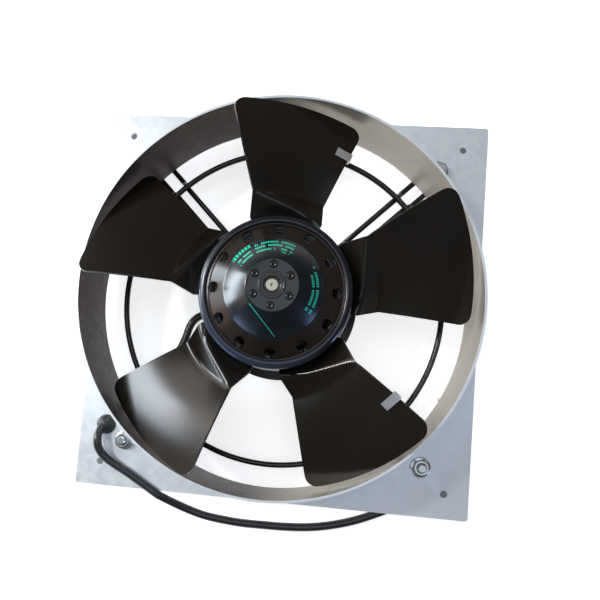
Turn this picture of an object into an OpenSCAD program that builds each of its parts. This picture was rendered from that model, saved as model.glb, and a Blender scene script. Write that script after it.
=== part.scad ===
// Axial fan: five pressed blades on an external-rotor motor, carried by wire arms
// behind a square wall plate with a deep nozzle. Millimetres, +Z up, origin on the
// fan's axis at the level of the bolt heads that it rests on.

/* [Impeller] */
// Diameter over the blade tips
impeller_d = 250; // [230:1:260]
// Running gap between the blade tips and the nozzle
tip_gap = 3.5; // [2:0.1:6]
// Thickness of the blade sheet
blade_t = 1.5; // [1:0.1:2.5]
// Half of the angle that a blade covers
blade_half_angle = 19.65; // [15:0.1:24]
// Pitch at the inner end of a blade
kink_pitch = 27.5; // [20:0.5:32]
// Pitch at the tip
tip_pitch = 21.2; // [15:0.1:26]
// Radius of the corners at the tip
tip_corner_r = 8; // [4:0.5:12]
// Hollow of a blade between its two long edges
blade_camber = 2.5; // [0:0.1:5]
// Drop of a blade's ends below its middle
blade_arch = 3.4; // [0:0.1:6]
// Depth of a blade's middle below the rotor can's rim
blade_mid_drop = 7.3; // [4:0.1:12]

/* [Plate] */
// Thickness of the sheet of the plate and nozzle
sheet_t = 1.5; // [1:0.1:2.5]
// Radius of the nozzle's mouth at the back of the plate
bell_r = 10.5; // [6:0.5:16]
// Narrowest land between the mouth and the edge of the plate
edge_land = 1; // [0.5:0.1:20]
// Height of the nozzle above the front of the plate
nozzle_h = 53.5; // [40:0.5:60]
// Radius of the plate's corners
plate_corner_r = 2; // [1:0.5:6]
// Distance of the wall holes from the plate's edges
hole_inset = 17; // [12:0.5:20]
// Diameter of the wall holes
hole_d = 5; // [4:0.5:8]

/* [Arms] */
// Diameter of the wire of the arms and the support ring
wire_d = 4; // [3:0.1:5]
// Distance of the arm bolts from the nozzle's mouth
bolt_land = 11; // [9:0.1:14]
// Gap between an arm bolt and the wires beside it
bolt_side_gap = 0.87; // [0.3:0.01:1.5]
// Gap between a motor screw and the wires beside it
screw_side_gap = 0.35; // [0.1:0.05:1]
// Distance of an arm's inner end from the axis
arm_inner_r = 20; // [18:0.5:24]
// Distance from the nozzle's wall to where an arm has stepped up
step_inset = 15; // [13:0.5:20]
// Length of the step along the arm
step_run = 8; // [6:0.5:12]
// Height of the step, from wire centre to wire centre
step_h = 4.3; // [3:0.1:6]
// Distance of the support ring from the step
ring_inset = 0.1; // [0:0.1:20]

/* [Fasteners] */
// Diameter of the arm bolts
bolt_d = 6; // [5:0.5:7]
// Width across flats of the arm bolts and nuts
bolt_af = 10; // [9:0.5:12]
// Height of the arm bolts' heads
bolt_head_h = 4; // [3:0.1:5]
// Length of the arm bolts under the head
bolt_len = 16; // [15:0.5:20]
// Diameter of the large washers
washer_d = 18; // [16:0.5:20]
// Thickness of the large washers
washer_t = 1.6; // [1:0.1:2.5]
// Height of the nuts
nut_h = 6; // [5:0.1:7]
// Diameter of the flange on the nuts
nut_flange_d = 14.2; // [13:0.1:16]
// Thickness of the flange on the nuts
nut_flange_t = 1.2; // [0.8:0.1:2]
// Play of a screw in its hole
hole_play = 0.3; // [0.1:0.05:0.5]

/* [Motor] */
// Radius of the stator flange
flange_r = 54; // [50:0.5:58]
// Thickness of the stator flange
flange_t = 4.7; // [4:0.1:8]
// Gap between the stator flange and the rotor can
axial_gap = 1.5; // [1:0.1:3]
// Wall of the bearing tube
tube_wall = 3; // [2:0.1:4]
// Clear height between the stator stack and the rim of the can
stack_head = 17; // [15.5:0.5:22]
// Width of the rotor's lamination ring
rotor_ring_w = 5; // [4:0.1:7]
// Air gap between stator and rotor
air_gap = 0.4; // [0.3:0.05:0.8]
// Number of stator slots
slots = 24; // [12:1:36]
// Distance of the motor screws from the axis
screw_r = 30; // [26:0.5:34]
// Diameter of the motor screws
screw_d = 5; // [4:0.5:5]

/* [Rotor] */
// Outer radius of the rotor can
can_r = 48.5; // [47:0.1:50]
// Wall of the rotor can
can_wall = 2; // [1.5:0.1:2.5]
// Height of the rotor can up to its rim
can_h = 52; // [51:0.5:56]
// Rounding of the can's rim
rim_round = 4; // [3:0.1:5]
// Width of the rim outside the can's shoulder
rim_w = 5.9; // [5:0.1:8]
// Width of the shoulder between the rim and the raised middle
shoulder_w = 12.1; // [10:0.1:14]
// Radius of the flat disc on the raised middle
disc_r = 16; // [15.5:0.1:18]
// Height of the flat disc above the rim
disc_h = 19; // [17:0.5:22]
// Diameter of the holes in the shoulder
vent_d = 6.8; // [5:0.1:7]
// Distance of the shoulder holes from the shoulder's edge
vent_inset = 4.2; // [3.6:0.1:6]
// Number of holes in the shoulder
vents = 12; // [8:1:14]
// Diameter of the shaft
shaft_d = 8; // [7:0.1:9]
// Number of rivets round the shaft
rivets = 6; // [4:1:8]

/* [Lead] */
// Diameter of the lead
lead_d = 5.8; // [5:0.1:6]
// Diameter of a core of the lead
core_d = 1.9; // [1.5:0.1:2.2]

/* [Hidden] */
$fn = 96;

// how far a cut runs past the solid it cuts
over = 1;
// gap between pieces that are pressed or cast into each other
fit_gap = 0.03;

// heights, from the ground up
plate_back = bolt_head_h + washer_t + wire_d;
plate_front = plate_back + sheet_t;
loop_z = plate_back - wire_d / 2;
arm_z = loop_z + step_h;
flange_z = arm_z + wire_d / 2;
flange_top = flange_z + flange_t;
can_z = flange_top + axial_gap;
rim_z = can_z + can_h;
disc_z = rim_z + disc_h;

// plate and nozzle
impeller_r = impeller_d / 2;
nozzle_r = impeller_r + tip_gap;
mouth_r = nozzle_r + bell_r;
plate_half = mouth_r + edge_land;
hole_xy = plate_half - hole_inset;
bolt_hole_r = bolt_d / 2 + hole_play;

// grommet, and its place from the plate's edges
lead_r = lead_d / 2;
grommet_wall = 2.5;
grommet_lip = 1.75;
grommet_hole_r = lead_r + grommet_wall;
grommet_r = grommet_hole_r + grommet_lip;
grommet_dome_h = 6;
grommet_back_t = 1.6;
grommet_edge_x = 19;
grommet_edge_y = 44;
grommet_at = [grommet_edge_x - plate_half, grommet_edge_y - plate_half, plate_front];

// arms
arm_angles = [45, 135, 225, 315];
loop_r = mouth_r + bolt_land;
loop_half = (bolt_d + wire_d) / 2 + bolt_side_gap;
inner_half = (screw_d + wire_d) / 2 + screw_side_gap;
step_inner_r = nozzle_r - step_inset;
step_outer_r = step_inner_r + step_run;
ring_r = step_inner_r - ring_inset;
step_rings = 6;
bend_rings = 12;
wire_sides = 14;

// fasteners of the motor
screw_washer_land = 0.65;
screw_washer_r = inner_half + wire_d / 2 + screw_washer_land;
screw_washer_t = 1.2;
screw_head_h = 3.5;
screw_af = 8;
screw_grip = 4;

// bearings
bearing_d = 22;
bearing_h = 7;
ball_share = 0.14;
ball_pitch_r = (bearing_d + shaft_d) / 4;
ball_r = (bearing_d - shaft_d) * ball_share;
groove_play = 0.2;
groove_r = ball_r + groove_play;
race_gap_share = 0.107;
cage_share = 0.043;
race_gap = (bearing_d - shaft_d) * race_gap_share;
race_in_r = ball_pitch_r - race_gap;
race_out_r = ball_pitch_r + race_gap;
cage_half_w = (bearing_d - shaft_d) * cage_share;
cage_play = 0.1;
cage_rim = 0.5;
cage_h = 2 * (ball_r + cage_play + cage_rim);
balls = 7;
tube_fit_r = bearing_d / 2 + fit_gap;
tube_r = bearing_d / 2 + tube_wall;
cap_t = 1.5;
cap_play = 0.1;
clip_t = 1;
clip_groove = 0.5;
clip_w = 1.6;
clip_r = shaft_d / 2 + clip_w;
rear_seat_h = 7.2;
rear_bearing_z = flange_z + rear_seat_h;
preload_t = 1;
preload_play = 0.2;
preload_in_r = race_out_r + preload_play;
preload_out_r = bearing_d / 2 - preload_play;
tube_seat_w = 2;
tube_seat_r = tube_r + tube_seat_w;
tube_lip = 1;
bush_flange_t = 4;
bush_neck_h = 15;
bush_foot_z = disc_z - can_wall - bush_flange_t - bush_neck_h;
front_bearing_z = bush_foot_z - bearing_h;
preload_top = rear_bearing_z + bearing_h + preload_t;
tube_top = front_bearing_z + bearing_h + tube_lip;

// stator
stack_foot = 12.5;
stack_z = flange_top + stack_foot;
stack_h = rim_z - stack_head - stack_z;
core_out_r = can_r - can_wall - fit_gap;
core_in_r = core_out_r - rotor_ring_w;
stack_r = core_in_r - air_gap;
slot_root_share = 0.37;
slot_share = 0.57;
slot_root_r = tube_r + (stack_r - tube_r) * slot_root_share;
slot_w = 2 * PI * slot_root_r * slot_share / slots;
slot_neck_w = 1.6;
tooth_tip_t = 2.6;
insulator_t = 1;
insulator_foot = 1.5;
insulator_inset = 1.6;
insulator_in_r = slot_root_r - insulator_foot;
insulator_out_r = stack_r - insulator_inset;
collar_t = 1;
collar_h = 6;
slot_play = 0.3;
turn_inset = 0.8;
turn_in_r = slot_root_r + slot_play;
turn_out_r = stack_r - tooth_tip_t - turn_inset;
turn_h = 8;
turn_round = 2.5;
cutout_l = 12;
cutout_w = 6.5;
cutout_t = 3.2;
cutout_r = (turn_in_r + turn_out_r) / 2;
cutout_angle = 60;

// rotor
core_extra = 2;
core_z = stack_z - core_extra;
core_h = stack_h + 2 * core_extra;
bar_share = 0.24;
bar_r = rotor_ring_w * bar_share;
bar_count = 32;
bar_pitch_r = (core_out_r + core_in_r) / 2;
ring_h = 5;
ring_play = 0.5;
shoulder_drop = 1.5;
cone_foot_h = 6.5;
shoulder_r = can_r - rim_w;
cone_r = shoulder_r - shoulder_w;
vent_r = shoulder_r - vent_inset;
collar_w = 4.3;
collar_r = shaft_d / 2 + collar_w;
collar_proud = 0.6;
dish_w = 0.9;
collar_dish_r = shaft_d / 2 + dish_w;
collar_dish_h = 1.5;
bush_play = 0.1;
bush_flange_r = disc_r - can_wall / 2 - bush_play;
rivet_r = (collar_r + disc_r) / 2;
shaft_low = 2.4;
shaft_top_drop = 0.5;
rivet_recess_r = 2.7;
rivet_recess_h = 1;
rivet_head_r = 2.3;
rivet_head_h = 0.9;
rivet_shank_r = 1.5;
rivet_angle = 90;
vent_angle = 90.6;
rivet_dome_share = 0.6;

// blades
blade_angles = [87, 159, 231, 303, 15];
weld_gap = 0.1;
neck_len = 17.5;
kink_r = can_r + neck_len;
neck_flare = 1;
foot_drop = 27;
attach_low_drop = 13;
attach_high_drop = 8;
foot_fillet_r = 3;
fold_round = 1.6;
bend_share = 0.3;
foot_r = can_r + weld_gap + blade_t / 2;
root_r = foot_r + foot_fillet_r;
foot_steps = 4;
neck_steps = 8;
span_steps = 12;
chord_steps = 14;

// balance clips: [blade, side, distance from the axis]
low_clip_inset = 21.2;
high_clip_inset = 28.5;
clip_places = [[0, -1, impeller_r - low_clip_inset], [3, 1, impeller_r - high_clip_inset]];
balance_w = 5.5;
balance_l = 11;
balance_t = 0.9;
balance_play = 0.25;

// lead
lead_sides = 10;
gland_angle = 190;
gland_wall = 1.3;
gland_r = lead_r + gland_wall;
gland_depth = 8;
gland_proud = 2.5;
gland_in_r = flange_r - gland_depth;
gland_out_r = flange_r + gland_proud;
gland_drop = 5.3;
gland_lip = 1;
gland_lip_t = 1.8;
gland_at = [gland_in_r * cos(gland_angle), gland_in_r * sin(gland_angle), flange_z - gland_drop];
boss_side = 2.8;
boss_w = 2 * (gland_r + boss_side);
boss_back = 2;
boss_under = 1.5;
boss_in_r = gland_in_r - boss_back;
boss_out_r = sqrt(pow(flange_r, 2) - pow(boss_w / 2, 2)) - fit_gap;
boss_h = gland_drop + gland_r + boss_under;
ferrule_r = 1.3;
ferrule_l = 4;
ferrule_tip_l = 8;
ferrule_tip_r = 0.85;
core_len = 26;
core_play = 0.15;
core_gap = core_d / 2 + core_play;
core_near = 2.2;
core_wide = 8;
core_lift = 0.6;
motor_lead_points = [[-45.3, -8, 8.6], [-50, -8.8, 8.6], [-56, -9.9, 8.6], [-60.6, -12, 8.6],
    [-64.4, -15.8, 8.6], [-66.8, -20.8, 8.5], [-68.4, -26.6, 8.3], [-71, -34, 8], [-76, -44, 7.3],
    [-84, -56, 6.4], [-94, -68, 5.6], [-104, -79, 4.9], [-110, -85, 4.6], [-114.1, -89.1, 4.9],
    [-116.1, -91.1, 5.6], [-118, -93, 6.9], [-119.7, -94.7, 8.8], [-121, -96, 11.1]];
supply_lead_points = [[-121, -96, 11.1], [-122.2, -97.5, 13.7], [-123.1, -99.8, 16.1],
    [-123.5, -102.7, 18], [-123.4, -106, 19.1], [-122.8, -109.5, 19.4], [-121.4, -113.3, 19],
    [-118.8, -117, 18.1], [-115, -120.4, 17], [-110, -123.6, 15.9], [-104, -126.9, 14.9],
    [-98, -130.2, 14.3], [-90, -134.8, 14.2],
    [-82, -139.3, 14.3], [-77.5, -142, 13.8], [-73, -144.4, 12.1], [-62.6, -149.6, 7.2],
    [-51, -154, 4.1], [-39.5, -156.6, 3], [-19, -158.4, 2.9], [-1.7, -158.4, 2.9], [15.6, -158, 2.9],
    [33, -156.5, 2.9], [49, -153.3, 2.9], [64, -148.7, 2.9], [78, -142.8, 2.9], [90, -136.8, 2.9],
    [101, -130, 2.9], [110, -122.6, 2.9], [117, -113.5, 2.9], [121, -104, 2.9], [122.5, -95, 2.9]];

// small helpers
function unit(v) = v / norm(v);
function mix(a, b, share) = a + (b - a) * share;
function within(value, low, high) = max(low, min(high, value));

// a curve through the points of a route, and the frames that carry a tube along it
function curve_at(p, i, u) = let (a = p[max(i - 1, 0)], b = p[i], c = p[i + 1], d = p[min(i + 2, len(p) - 1)])
    0.5 * (2 * b + (c - a) * u + (2 * a - 5 * b + 4 * c - d) * u * u + (3 * b - a - 3 * c + d) * u * u * u);
function curve(p, steps) = [for (i = [0 : len(p) - 2], k = [0 : steps - 1]) curve_at(p, i, k / steps),
    p[len(p) - 1]];
function tangents(p) = [for (i = [0 : len(p) - 1]) unit(p[min(i + 1, len(p) - 1)] - p[max(i - 1, 0)])];
function across(n, t) = unit(n - t * (n * t));
tube_side_shares = [0.3, 1, 0.2];
function normals(t) = [for (i = 0, n = across(tube_side_shares, t[0]); i < len(t);
    i = i + 1, n = i < len(t) ? across(n, t[i]) : n) n];

// a round tube swept along points, closed at both ends
module tube(points, radius, sides) {
    t = tangents(points);
    n = normals(t);
    rings = len(points);
    verts = [for (i = [0 : rings - 1], k = [0 : sides - 1])
        points[i] + radius * (n[i] * cos(360 * k / sides) + cross(t[i], n[i]) * sin(360 * k / sides))];
    walls = [for (i = [0 : rings - 2], k = [0 : sides - 1])
        let (a = i * sides + k, b = i * sides + (k + 1) % sides, c = a + sides, d = b + sides)
        each [[a, c, b], [b, c, d]]];
    first = [for (k = [0 : sides - 1]) k];
    last = [for (k = [sides - 1 : -1 : 0]) (rings - 1) * sides + k];
    polyhedron(verts, concat(walls, [first], [last]));
}

// the leads keep to the gland and the grommet where those move
fixed_points = 3;
function follow(p, first, last) = let (n = len(p) - 1) [for (i = [0 : n])
    p[i] + mix(first - p[0], last - p[n], within((i - fixed_points) / (n - 2 * fixed_points), 0, 1))];
motor_lead_route = follow(motor_lead_points, gland_at, grommet_at);
supply_lead_route = [for (p = supply_lead_points) p + grommet_at - supply_lead_points[0]];

// a closed sheet from a grid of points on its middle surface
module sheet(grid, thickness) {
    rows = len(grid);
    cols = len(grid[0]);
    normal = [for (i = [0 : rows - 1]) [for (j = [0 : cols - 1])
        unit(cross(grid[min(i + 1, rows - 1)][j] - grid[max(i - 1, 0)][j],
            grid[i][min(j + 1, cols - 1)] - grid[i][max(j - 1, 0)]))]];
    upper = [for (i = [0 : rows - 1], j = [0 : cols - 1]) grid[i][j] + normal[i][j] * thickness / 2];
    lower = [for (i = [0 : rows - 1], j = [0 : cols - 1]) grid[i][j] - normal[i][j] * thickness / 2];
    half = rows * cols;
    faces = [for (i = [0 : rows - 2], j = [0 : cols - 2])
        let (a = i * cols + j, b = a + 1, c = a + cols, d = c + 1)
        each [[a, b, c], [b, d, c], [half + a, half + c, half + b], [half + b, half + c, half + d]]];
    sides = [for (i = [0 : rows - 2], e = [0, cols - 1])
        let (a = i * cols + e, c = a + cols)
        each e == 0 ? [[a, c, half + a], [c, half + c, half + a]]
            : [[a, half + a, c], [c, half + a, half + c]]];
    ends = [for (j = [0 : cols - 2], e = [0, rows - 1])
        let (a = e * cols + j, b = a + 1)
        each e == 0 ? [[a, half + a, b], [b, half + a, half + b]]
            : [[a, b, half + a], [b, half + b, half + a]]];
    polyhedron(concat(upper, lower), concat(faces, sides, ends));
}

module hexagon(flats, height) {
    cylinder(h = height, d = flats / cos(30), $fn = 6);
}

module washer(outer, inner, height) {
    difference() {
        cylinder(h = height, r = outer);
        translate([0, 0, -over]) cylinder(h = height + 2 * over, r = inner);
    }
}

module on_arms(radius) {
    for (a = arm_angles) rotate(a) translate([radius, 0, 0]) children();
}

// the plate and the nozzle are one pressing, so they are one solid
module nozzle_plate() color("gainsboro") difference() {
    union() {
        difference() {
            translate([0, 0, plate_back]) linear_extrude(sheet_t) plate_outline();
            cylinder(h = plate_front + over, r = mouth_r);
        }
        rotate_extrude($fn = 240) nozzle_section();
    }
    for (x = [-hole_xy, hole_xy], y = [-hole_xy, hole_xy])
        translate([x, y, 0]) cylinder(h = plate_front + over, d = hole_d);
    on_arms(loop_r) cylinder(h = plate_front + over, r = bolt_hole_r);
    translate([grommet_at.x, grommet_at.y, 0]) cylinder(h = plate_front + over, r = grommet_hole_r);
}

module plate_outline() {
    inner = plate_half - plate_corner_r;
    square([2 * inner, 2 * plate_half], center = true);
    square([2 * plate_half, 2 * inner], center = true);
    for (x = [-inner, inner], y = [-inner, inner]) translate([x, y]) circle(plate_corner_r);
}

module nozzle_section() {
    bell_z = plate_back + bell_r;
    intersection() {
        translate([mouth_r, bell_z]) difference() {
            circle(bell_r);
            circle(bell_r - sheet_t);
        }
        translate([nozzle_r, plate_back]) square(bell_r);
    }
    translate([nozzle_r, bell_z]) square([sheet_t, plate_front + nozzle_h - bell_z]);
}

// each arm is one wire, bent round its bolt and stepped up into the nozzle
module support_arms() color([0.09, 0.09, 0.1]) for (a = arm_angles) rotate(a) arm();

module arm() {
    function step(side, k) = let (u = k / step_rings, ease = u * u * (3 - 2 * u))
        [mix(step_inner_r, step_outer_r, u), side * mix(inner_half, loop_half, ease),
            mix(arm_z, loop_z, ease)];
    inner_end = function (side) [arm_inner_r, side * inner_half, arm_z];
    tube(concat([inner_end(-1)], [for (k = [0 : step_rings]) step(-1, k)],
        [for (k = [0 : bend_rings]) let (a = 180 * k / bend_rings - 90)
            [loop_r + loop_half * cos(a), loop_half * sin(a), loop_z]],
        [for (k = [step_rings : -1 : 0]) step(1, k)], [inner_end(1)]), wire_d / 2, wire_sides);
}

module support_ring() color([0.09, 0.09, 0.1]) translate([0, 0, arm_z + wire_d])
    rotate_extrude($fn = 180) translate([ring_r, 0]) circle(wire_d / 2);

module arm_bolts() color("silver") on_arms(loop_r) {
    hexagon(bolt_af, bolt_head_h);
    cylinder(h = bolt_head_h + bolt_len, d = bolt_d);
}

module arm_washers() color("silver") on_arms(loop_r) translate([0, 0, bolt_head_h])
    washer(washer_d / 2, bolt_hole_r, washer_t);

module arm_nuts() color("silver") on_arms(loop_r) translate([0, 0, plate_front]) difference() {
    union() {
        hexagon(bolt_af, nut_h);
        cylinder(h = nut_flange_t, d = nut_flange_d);
    }
    translate([0, 0, -over]) cylinder(h = nut_h + 2 * over, r = bolt_d / 2 + fit_gap);
}

// the flange carries the bearing tube, and the arms are clamped to its back
module stator_flange() color([0.1, 0.1, 0.11]) difference() {
    union() {
        rotate_extrude() polygon([[tube_fit_r, flange_z], [flange_r, flange_z], [flange_r, flange_top],
            [tube_seat_r, flange_top], [tube_seat_r, stack_z], [tube_r, stack_z], [tube_r, tube_top],
            [tube_fit_r, tube_top], [tube_fit_r, front_bearing_z], [race_out_r, front_bearing_z],
            [race_out_r, preload_top], [tube_fit_r, preload_top]]);
        rotate(gland_angle) translate([boss_in_r, -boss_w / 2, flange_z - boss_h])
            cube([boss_out_r - boss_in_r, boss_w, boss_h + flange_t / 2]);
    }
    on_arms(screw_r) cylinder(h = flange_top + over, r = screw_d / 2 + fit_gap);
    rotate(gland_angle) translate([gland_in_r - boss_back / 2, 0, gland_at.z]) rotate([0, 90, 0])
        cylinder(h = gland_out_r - gland_in_r, r = gland_r + fit_gap);
}

module motor_screws() color("silver") on_arms(screw_r) {
    low = arm_z - wire_d / 2 - screw_washer_t;
    translate([0, 0, low - screw_head_h]) hexagon(screw_af, screw_head_h);
    translate([0, 0, low]) cylinder(h = screw_washer_t + wire_d + screw_grip, d = screw_d);
}

module motor_screw_washers() color("silver")
    on_arms(screw_r) translate([0, 0, arm_z - wire_d / 2 - screw_washer_t])
        washer(screw_washer_r, screw_d / 2 + hole_play, screw_washer_t);

module slots_at(width, inner, outer) {
    for (k = [0 : slots - 1]) rotate(360 * k / slots) translate([inner, -width / 2])
        square([outer - inner, width]);
}

module stator_core() color([0.45, 0.45, 0.47]) translate([0, 0, stack_z]) linear_extrude(stack_h)
    difference() {
        circle(stack_r);
        circle(tube_r + fit_gap);
        slots_at(slot_w, slot_root_r, stack_r - tooth_tip_t);
        slots_at(slot_neck_w, slot_root_r, stack_r + over);
    }

module slot_insulators() color("ivory") for (z = [stack_z - insulator_t, stack_z + stack_h]) {
    translate([0, 0, z]) linear_extrude(insulator_t) difference() {
        circle(insulator_out_r);
        circle(insulator_in_r);
        slots_at(slot_w, slot_root_r, stack_r - tooth_tip_t);
    }
    translate([0, 0, z < stack_z ? z - collar_h : z + insulator_t])
        washer(insulator_in_r + collar_t, insulator_in_r, collar_h);
}

module stator_windings() color([0.55, 0.27, 0.12]) {
    for (z = [stack_z - insulator_t - turn_h, stack_z + stack_h + insulator_t])
        rotate_extrude() translate([turn_in_r, z]) end_turn_section();
    translate([0, 0, stack_z - insulator_t]) linear_extrude(stack_h + 2 * insulator_t)
        slots_at(slot_w - 2 * slot_play, turn_in_r + turn_round, turn_out_r - slot_play);
}

module end_turn_section() {
    w = turn_out_r - turn_in_r;
    translate([turn_round, 0]) square([w - 2 * turn_round, turn_h]);
    translate([0, turn_round]) square([w, turn_h - 2 * turn_round]);
    for (x = [turn_round, w - turn_round], y = [turn_round, turn_h - turn_round])
        translate([x, y]) circle(turn_round);
}

module thermal_cutout() color("black")
    rotate(cutout_angle) translate([cutout_r, 0, stack_z + stack_h + insulator_t + turn_h + cutout_t / 2])
        cube([cutout_w, cutout_l, cutout_t], center = true);

module bearing_cap() color([0.2, 0.2, 0.22]) translate([0, 0, flange_z])
    cylinder(h = cap_t, r = tube_fit_r - cap_play);

module preload_washer() color("silver") translate([0, 0, rear_bearing_z + bearing_h])
    washer(preload_out_r, preload_in_r, preload_t);

// a ring of a ball bearing, from radius inner to outer, with the balls' groove
module race(z, inner, outer) color("silver") translate([0, 0, z]) rotate_extrude() difference() {
    translate([inner, 0]) square([outer - inner, bearing_h]);
    translate([ball_pitch_r, bearing_h / 2]) circle(groove_r);
}

module ball_set(z) translate([0, 0, z + bearing_h / 2])
    for (k = [0 : balls - 1]) rotate(360 * k / balls) translate([ball_pitch_r, 0, 0]) children();

module ball_cage(z) color("goldenrod") difference() {
    translate([0, 0, z + (bearing_h - cage_h) / 2])
        washer(ball_pitch_r + cage_half_w, ball_pitch_r - cage_half_w, cage_h);
    ball_set(z) rotate([0, 90, 0])
        cylinder(h = 2 * (cage_half_w + over), r = ball_r + cage_play, center = true);
}

module rear_outer_race() race(rear_bearing_z, race_out_r, bearing_d / 2);
module front_outer_race() race(front_bearing_z, race_out_r, bearing_d / 2);
module rear_inner_race() race(rear_bearing_z, shaft_d / 2 + fit_gap, race_in_r);
module front_inner_race() race(front_bearing_z, shaft_d / 2 + fit_gap, race_in_r);
module rear_bearing_balls() color("silver") ball_set(rear_bearing_z) sphere(ball_r);
module front_bearing_balls() color("silver") ball_set(front_bearing_z) sphere(ball_r);
module rear_bearing_cage() ball_cage(rear_bearing_z);
module front_bearing_cage() ball_cage(front_bearing_z);

// the drawn can: side wall, rounded rim, shoulder with holes, cone and riveted disc
module rotor_can() color([0.06, 0.06, 0.07]) difference() {
    rotate_extrude($fn = 180) polygon(concat(can_face(), can_back()));
    for (k = [0 : vents - 1]) rotate(vent_angle + 360 * k / vents)
        translate([vent_r, 0, rim_z - rim_round - can_wall]) cylinder(h = disc_h, d = vent_d);
    at_rivets() translate([0, 0, disc_z - can_wall - over])
        cylinder(h = can_wall + 2 * over, r = rivet_shank_r + fit_gap);
    at_rivets() translate([0, 0, disc_z - rivet_recess_h])
        cylinder(h = rivet_recess_h + over, r = rivet_recess_r);
}

function rim_arc(radius, order) = [for (k = order)
    [can_r - rim_round + radius * cos(k), rim_z - rim_round + radius * sin(k)]];
function can_face() = concat([[can_r, can_z]], rim_arc(rim_round, [0 : 10 : 90]),
    [[shoulder_r, rim_z - shoulder_drop], [cone_r, rim_z + cone_foot_h],
        [disc_r, disc_z], [collar_r + fit_gap, disc_z]]);
function can_back() = concat([[collar_r + fit_gap, disc_z - can_wall],
    [disc_r - can_wall / 2, disc_z - can_wall], [cone_r - can_wall / 2, rim_z + cone_foot_h - can_wall],
    [shoulder_r, rim_z - shoulder_drop - can_wall]],
    rim_arc(rim_round - can_wall, [90 : -15 : 0]), [[can_r - can_wall, can_z]]);

module at_rivets() {
    for (k = [0 : rivets - 1]) rotate(rivet_angle + 360 * k / rivets) translate([rivet_r, 0, 0]) children();
}

module hub_bush() color([0.16, 0.17, 0.19]) difference() {
    under = disc_z - can_wall;
    union() {
        translate([0, 0, bush_foot_z]) cylinder(h = under - bush_foot_z, r = clip_r);
        translate([0, 0, under - bush_flange_t]) cylinder(h = bush_flange_t, r = bush_flange_r);
        translate([0, 0, under]) cylinder(h = can_wall + collar_proud, r = collar_r);
    }
    cylinder(h = disc_z + collar_proud + over, r = shaft_d / 2 + fit_gap);
    translate([0, 0, disc_z + collar_proud - collar_dish_h])
        cylinder(h = collar_dish_h + over, r = collar_dish_r);
    at_rivets() translate([0, 0, under - bush_flange_t - over])
        cylinder(h = bush_flange_t + 2 * over, r = rivet_shank_r + fit_gap);
}

module hub_rivets() color("silver") at_rivets() {
    seat = disc_z - rivet_recess_h;
    low = disc_z - can_wall - bush_flange_t;
    translate([0, 0, low]) cylinder(h = seat - low, r = rivet_shank_r);
    translate([0, 0, low - rivet_head_h]) cylinder(h = rivet_head_h, r = rivet_head_r);
    translate([0, 0, seat]) {
        cylinder(h = rivet_head_h * rivet_dome_share, r = rivet_head_r);
        cylinder(h = rivet_head_h, r = rivet_shank_r);
    }
}

module rotor_shaft() color("silver") difference() {
    translate([0, 0, rear_bearing_z - shaft_low])
        cylinder(h = disc_z - shaft_top_drop - rear_bearing_z + shaft_low, d = shaft_d);
    translate([0, 0, rear_bearing_z - clip_t]) washer(shaft_d, shaft_d / 2 - clip_groove, clip_t);
}

// an open spring ring in the shaft's groove, below the rear bearing
module retaining_ring() color("silver") translate([0, 0, rear_bearing_z - clip_t]) difference() {
    washer(clip_r, shaft_d / 2 - clip_groove + fit_gap, clip_t - fit_gap);
    translate([0, -clip_t, -over]) cube([clip_r + over, 2 * clip_t, clip_t + 2 * over]);
}

module cage_bars(radius) {
    for (k = [0 : bar_count - 1]) rotate(360 * k / bar_count) translate([bar_pitch_r, 0]) circle(radius);
}

module rotor_core() color([0.45, 0.45, 0.47]) translate([0, 0, core_z]) linear_extrude(core_h) difference() {
    circle(core_out_r);
    circle(core_in_r);
    cage_bars(bar_r);
}

module rotor_cage() color([0.75, 0.76, 0.78]) {
    translate([0, 0, core_z]) linear_extrude(core_h) cage_bars(bar_r - fit_gap);
    for (z = [core_z - ring_h, core_z + core_h])
        translate([0, 0, z]) washer(core_out_r - ring_play, core_in_r + ring_play, ring_h);
}

// blade surface. r: distance from the axis. s: -1 at the deep edge, 1 at the high edge
function span_share(r) = (r - kink_r) / (impeller_r - kink_r);
function pitch(r) = mix(kink_pitch, tip_pitch, span_share(r));
function edge_angle(r) = r > kink_r ? blade_half_angle
    : asin((kink_r * sin(blade_half_angle) + neck_flare * (kink_r - r) / neck_len) / r);
function face_z(r, s) = let (a = s * blade_half_angle)
    rim_z - blade_mid_drop - blade_arch * pow(2 * span_share(r) - 1, 2)
    + r * a * PI / 180 * tan(pitch(r)) - blade_camber * (1 - s * s);
function attach_z(s) = rim_z - mix(attach_low_drop, attach_high_drop, (s + 1) / 2);
function ridge_r(s) = mix(root_r, kink_r, pow((s + 1) / 2, 2));
function ridge_z(s) = mix(attach_z(-1), face_z(kink_r, 1), (s + 1) / 2);
function neck_z(r, s) = r < ridge_r(s)
    ? mix(attach_z(s), ridge_z(s), (r - root_r) / (ridge_r(s) - root_r))
    : mix(ridge_z(s), face_z(kink_r, s), (r - ridge_r(s)) / max(kink_r - ridge_r(s), fit_gap));
function raw_z(r, s) = r < root_r ? attach_z(s) : r > kink_r ? face_z(r, s) : neck_z(r, s);
function blade_z(r, s) = (raw_z(r - fold_round, s) + 2 * raw_z(r, s) + raw_z(r + fold_round, s)) / 4;
function tip_r(s) = let (e = (1 - abs(s)) * impeller_r * blade_half_angle * PI / 180)
    e > tip_corner_r ? impeller_r
    : impeller_r - tip_corner_r + sqrt(pow(tip_corner_r, 2) - pow(tip_corner_r - e, 2));
function polar(r, a, z) = [r * cos(a), r * sin(a), z];
function on_blade(r, s) = polar(r, s * edge_angle(r), blade_z(r, s));
function foot_point(i, s) = polar(foot_r, s * edge_angle(root_r),
    mix(rim_z - foot_drop, attach_z(s) - foot_fillet_r, i / (foot_steps - 2)));
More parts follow.
